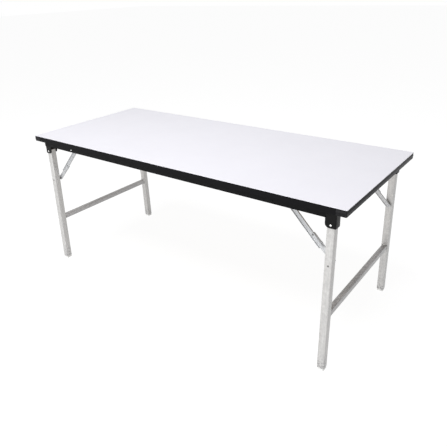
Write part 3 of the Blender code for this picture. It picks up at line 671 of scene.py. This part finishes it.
def screw_heads_shape():
    """Pan head with a cross recess, head down, on every point of the base mesh."""
    tree, given = start_shape("cross_recess_screws", (
        "Head Radius", "Head Height", "Recess Span", "Recess Width", "Recess Depth",
    ))
    head = domed_head(tree, given["Head Radius"], given["Head Height"], 0)
    # Each slot straddles the crest, so it is twice as tall as the recess is deep
    tall = add_node(tree, "ShaderNodeMath", {0: given["Recess Depth"], 1: 2}, operation="MULTIPLY")
    crest = add_node(tree, "ShaderNodeCombineXYZ", {"Z": given["Head Height"]})
    slots = []
    for along, across in (("Recess Span", "Recess Width"), ("Recess Width", "Recess Span")):
        size = add_node(tree, "ShaderNodeCombineXYZ", {
            "X": given[along], "Y": given[across], "Z": tall.outputs[0],
        })
        slot = add_node(tree, "GeometryNodeMeshCube", {"Size": size.outputs["Vector"]})
        slots.append(add_node(tree, "GeometryNodeTransform", {
            "Geometry": slot.outputs["Mesh"], "Translation": crest.outputs["Vector"],
        }).outputs["Geometry"])
    cut = add_node(tree, "GeometryNodeMeshBoolean", {
        "Mesh 1": head, "Mesh 2": slots, "Self Intersection": True,
    }, operation="DIFFERENCE", solver="EXACT")
    down = add_node(tree, "GeometryNodeTransform", {
        "Geometry": cut.outputs["Mesh"], "Rotation": TURNED_OVER,
    })
    angle = add_node(tree, "FunctionNodeRandomValue", {
        RANDOM_LOW: 0, RANDOM_HIGH: math.tau, "Seed": SCREW_TURN_SEED,
    }, data_type="FLOAT")
    turn = add_node(tree, "ShaderNodeCombineXYZ", {"Z": angle.outputs[RANDOM_NUMBER]})
    placed = add_node(tree, "GeometryNodeInstanceOnPoints", {
        "Points": given["Geometry"], "Instance": down.outputs["Geometry"],
        "Rotation": turn.outputs["Vector"],
    })
    return end_shape(tree, given, placed.outputs["Instances"])


def weld_bead_shape():
    """Rippled bead along every edge path of the base mesh."""
    tree, given = start_shape("weld_bead", (
        "Bead Radius", "Ripple Share", "Ripple Length", "Wander Share", "Wander Length",
    ))
    path = add_node(tree, "GeometryNodeMeshToCurve", {"Mesh": given["Geometry"]})
    step = add_node(tree, "ShaderNodeMath", {
        0: given["Ripple Length"], 1: BEAD_POINTS_PER_RIPPLE,
    }, operation="DIVIDE")
    even = add_node(tree, "GeometryNodeResampleCurve", {
        "Curve": path.outputs["Curve"], "Length": step.outputs[0],
    }, mode="LENGTH")
    reach = add_node(tree, "GeometryNodeSplineParameter").outputs["Length"]
    count = add_node(tree, "ShaderNodeMath", {0: reach, 1: given["Ripple Length"]}, operation="DIVIDE")
    phase = add_node(tree, "ShaderNodeMath", {0: count.outputs[0], 1: math.pi}, operation="MULTIPLY")
    wave = add_node(tree, "ShaderNodeMath", {0: phase.outputs[0]}, operation="SINE")
    crest = add_node(tree, "ShaderNodeMath", {0: wave.outputs[0]}, operation="ABSOLUTE")
    position = add_node(tree, "GeometryNodeInputPosition").outputs["Position"]
    scale = add_node(tree, "ShaderNodeMath", {0: 1, 1: given["Wander Length"]}, operation="DIVIDE")
    wander = add_node(tree, "ShaderNodeTexNoise", {"Vector": position, "Scale": scale.outputs[0]})
    swell = add_node(tree, "ShaderNodeMath", {
        0: wander.outputs["Fac"], 1: given["Wander Share"], 2: BEAD_LEAST_SHARE,
    }, operation="MULTIPLY_ADD")
    ripple = add_node(tree, "ShaderNodeMath", {
        0: crest.outputs[0], 1: given["Ripple Share"], 2: swell.outputs[0],
    }, operation="MULTIPLY_ADD")
    section = add_node(tree, "GeometryNodeCurvePrimitiveCircle", {
        "Resolution": BEAD_SIDES, "Radius": given["Bead Radius"],
    })
    bead = add_node(tree, "GeometryNodeCurveToMesh", {
        "Curve": even.outputs["Curve"], "Profile Curve": section.outputs["Curve"],
        "Scale": ripple.outputs[0], "Fill Caps": True,
    })
    return end_shape(tree, given, bead.outputs["Mesh"])


def grow(name, base, shape, sizes, finish):
    """Piece made by a shape tree from a base mesh, kept as a plain mesh."""
    piece = bpy.data.objects.new(name, base)
    bpy.context.collection.objects.link(piece)
    step = piece.modifiers.new("shape", "NODES")
    step.node_group = shape
    values = {**sizes, "Finish": FINISHES[finish]}
    for socket in shape.interface.items_tree:
        if socket.in_out == "INPUT" and socket.name in values:
            step[socket.identifier] = values[socket.name]
    keep_shape(piece, step)
    shade(piece.data)
    return piece


def path_mesh(name, paths):
    """Mesh of edges along each (points, closed) path."""
    work = bmesh.new()
    for points, closed in paths:
        corners = [work.verts.new(point) for point in points]
        for first, second in zip(corners, corners[1:]):
            work.edges.new((first, second))
        if closed:
            work.edges.new((corners[-1], corners[0]))
    mesh = bpy.data.meshes.new(name)
    work.to_mesh(mesh)
    work.free()
    return mesh


def outward(node):
    """Turn and place that carry Z to the outward side of a rivet's row, from its inner end."""
    low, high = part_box(node)
    row = math.copysign(1, low.y + high.y)
    inner = low.y if row > 0 else high.y
    middle = (low + high) / 2
    turn = Matrix.Rotation(-row * QUARTER_TURN, MATRIX_SIZE, "X")
    return Matrix.Translation((middle.x, inner, middle.z)) @ turn


def add_rivet(node, shapes):
    """Smooth rivet or pin in the place and size of its solid."""
    finish, head_height, shank, shoulder = longest_match(RIVETS, node)
    low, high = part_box(node)
    sizes = {
        "Head Radius": (high.x - low.x) / 2,
        "Head Height": head_height,
        "Shank Radius": shank,
        "Length": high.y - low.y,
    }
    if shoulder:
        sizes["Head Radius"] = FOOT_PIN_HEAD_RADIUS
        sizes["Shoulder Radius"] = shoulder
        sizes["Shoulder Length"] = sizes["Length"] - head_height - GAP - LEG_SIZE - GAP
    shape = shapes["pin" if shoulder else "rivet"]
    piece = grow(f"{node}_finished", bpy.data.meshes.new(node), shape, sizes, finish)
    piece.data.transform(outward(node))
    return piece


def dress_nodes(shapes):
    """Every CAD node gets its finish, on itself, on a finished copy or on a smooth rivet."""
    for node, solid in frame["nodes"].items():
        if longest_match(RIVETS, node):
            piece = add_rivet(node, shapes)
            slot = "rivet_steel"
        else:
            finish, slot, edge = longest_match(DRESS, node)
            if not edge:
                for place in solid.material_slots:
                    place.material = FINISHES[finish]
                continue
            piece = finish_copy(node, finish, edge)
        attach(piece, solid["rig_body"])
        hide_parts(node)


def add_screw_heads(shape):
    """Cross-recess heads in place of the plain ones, one piece for each bracket or rail."""
    sizes = {
        "Head Radius": SCREW_HEAD_RADIUS,
        "Head Height": SCREW_HEAD_HEIGHT,
        "Recess Span": RECESS_SPAN,
        "Recess Width": RECESS_WIDTH,
        "Recess Depth": RECESS_DEPTH,
    }
    for node, solid in frame["nodes"].items():
        places, seat = screws_of(node)
        if not places:
            continue
        name = f"{node}_screw_heads"
        base = path_mesh(name, [([(x, y, seat)], False) for x, y in places])
        piece = grow(name, base, shape, sizes, "zinc_plate")
        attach(piece, solid["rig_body"])


def crossbar_end(node, row):
    """Outline of a crossbar's end in order, from the points of its solid."""
    points = sorted({
        tuple(round(value, PLACE_DIGITS) for value in point.co)
        for point in frame["nodes"][node].data.vertices
        if point.co.y * row > 0
    })
    order = convex_hull_2d([(x, z) for x, _, z in points])
    return [points[i] for i in order]


def anchor_seam(node):
    """Path down the end of a stay anchor's foot and along under it, on its cross member."""
    low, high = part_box(node)
    x = math.copysign(min(abs(low.x), abs(high.x)), low.x)
    row = math.copysign(1, low.y)
    inner = min(abs(low.y), abs(high.y))
    outer = max(abs(low.y), abs(high.y)) - ANCHOR_SEAM_SHORT
    return [
        (x, row * inner, high.z - ANCHOR_SEAM_SHORT),
        (x, row * inner, low.z),
        (x, row * outer, low.z),
    ], False


def add_welds(shape):
    """Weld beads of the leg frames and of the stay anchors, one piece for each body."""
    sizes = {
        "Bead Radius": BEAD_RADIUS,
        "Ripple Share": BEAD_RIPPLE_SHARE,
        "Ripple Length": BEAD_RIPPLE_LENGTH,
        "Wander Share": BEAD_WANDER_SHARE,
        "Wander Length": BEAD_WANDER_LENGTH,
    }
    for side_name in SIDES:
        bar_node = f"crossbar_{side_name}"
        paths = [(crossbar_end(bar_node, row), True) for row in ROWS]
        name = f"crossbar_welds_{side_name}"
        piece = grow(name, path_mesh(name, paths), shape, sizes, "weld_metal")
        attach(piece, frame["nodes"][bar_node]["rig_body"])

    anchors = [node for node in frame["nodes"] if node.startswith("stay_anchor")]
    paths = [anchor_seam(node) for node in anchors]
    piece = grow("anchor_welds", path_mesh("anchor_welds", paths), shape, sizes, "black_powder_coat")
    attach(piece, frame["nodes"][anchors[0]]["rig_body"])


def seen_plainly(tree):
    """One where the lens, gloss or glass looks straight at a surface, and zero for its light."""
    path = add_node(tree, "ShaderNodeLightPath").outputs
    seen = add_node(tree, "ShaderNodeMath", {
        0: path["Is Camera Ray"], 1: path["Is Glossy Ray"],
    }, operation="MAXIMUM")
    return add_node(tree, "ShaderNodeMath", {
        0: seen.outputs[0], 1: path["Is Transmission Ray"],
    }, operation="MAXIMUM").outputs[0]


def add_floor():
    """Matt floor paint that looks white and keeps a soft shadow, but throws little light back up."""
    made = new_finish(
        "matt_floor_paint", FLOOR_COLOUR, metallic=0, roughness=FLOOR_ROUGHNESS, specular=0,
    )
    tree = made.node_tree
    shader = tree.nodes["Principled BSDF"]
    shader.inputs["Emission Color"].default_value = WHITE
    lift = add_node(tree, "ShaderNodeMapRange", {
        "Value": seen_plainly(tree), "To Min": FLOOR_GLOW, "To Max": FLOOR_SEEN,
    })
    tree.links.new(lift.outputs["Result"], shader.inputs["Emission Strength"])
    bpy.ops.mesh.primitive_plane_add(size=FLOOR_SIZE)
    floor = bpy.context.object
    floor.name = "studio_floor"
    floor.data.materials.append(made)


def add_world():
    """White surroundings: full white to the lens and to gloss, softer as a light."""
    world = bpy.data.worlds.new("studio")
    bpy.context.scene.world = world
    world.use_nodes = True
    tree = world.node_tree
    strength = add_node(tree, "ShaderNodeMapRange", {
        "Value": seen_plainly(tree), "To Min": WORLD_LIGHT, "To Max": 1,
    })
    back = tree.nodes["Background"]
    back.inputs["Color"].default_value = WHITE
    tree.links.new(strength.outputs["Result"], back.inputs["Strength"])


def add_lamps():
    """Large softboxes, far enough away to light the table evenly."""
    for name, place, aim, size, watts in LAMPS:
        data = bpy.data.lights.new(name, "AREA")
        data.shape = "RECTANGLE"
        data.size, data.size_y = size
        data.energy = watts
        lamp = bpy.data.objects.new(name, data)
        lamp.location = place
        lamp.rotation_euler = (Vector(aim) - Vector(place)).to_track_quat("-Z", "Y").to_euler()
        bpy.context.collection.objects.link(lamp)


def add_camera():
    """Camera at the photograph's place, turn and lens."""
    data = bpy.data.cameras.new("camera")
    data.sensor_width = SENSOR_WIDTH
    data.lens = LENS
    data.shift_x, data.shift_y = LENS_SHIFT
    camera = bpy.data.objects.new("camera", data)
    camera.location = CAMERA_PLACE
    camera.rotation_euler = [math.radians(turn) for turn in CAMERA_TURN_DEG]
    bpy.context.collection.objects.link(camera)
    bpy.context.scene.camera = camera


add_camera()
dress_nodes({"rivet": rivet_shape(), "pin": pin_shape()})
add_screw_heads(screw_heads_shape())
add_welds(weld_bead_shape())
add_floor()
add_world()
add_lamps()
bpy.context.scene.view_settings.view_transform = "Standard"
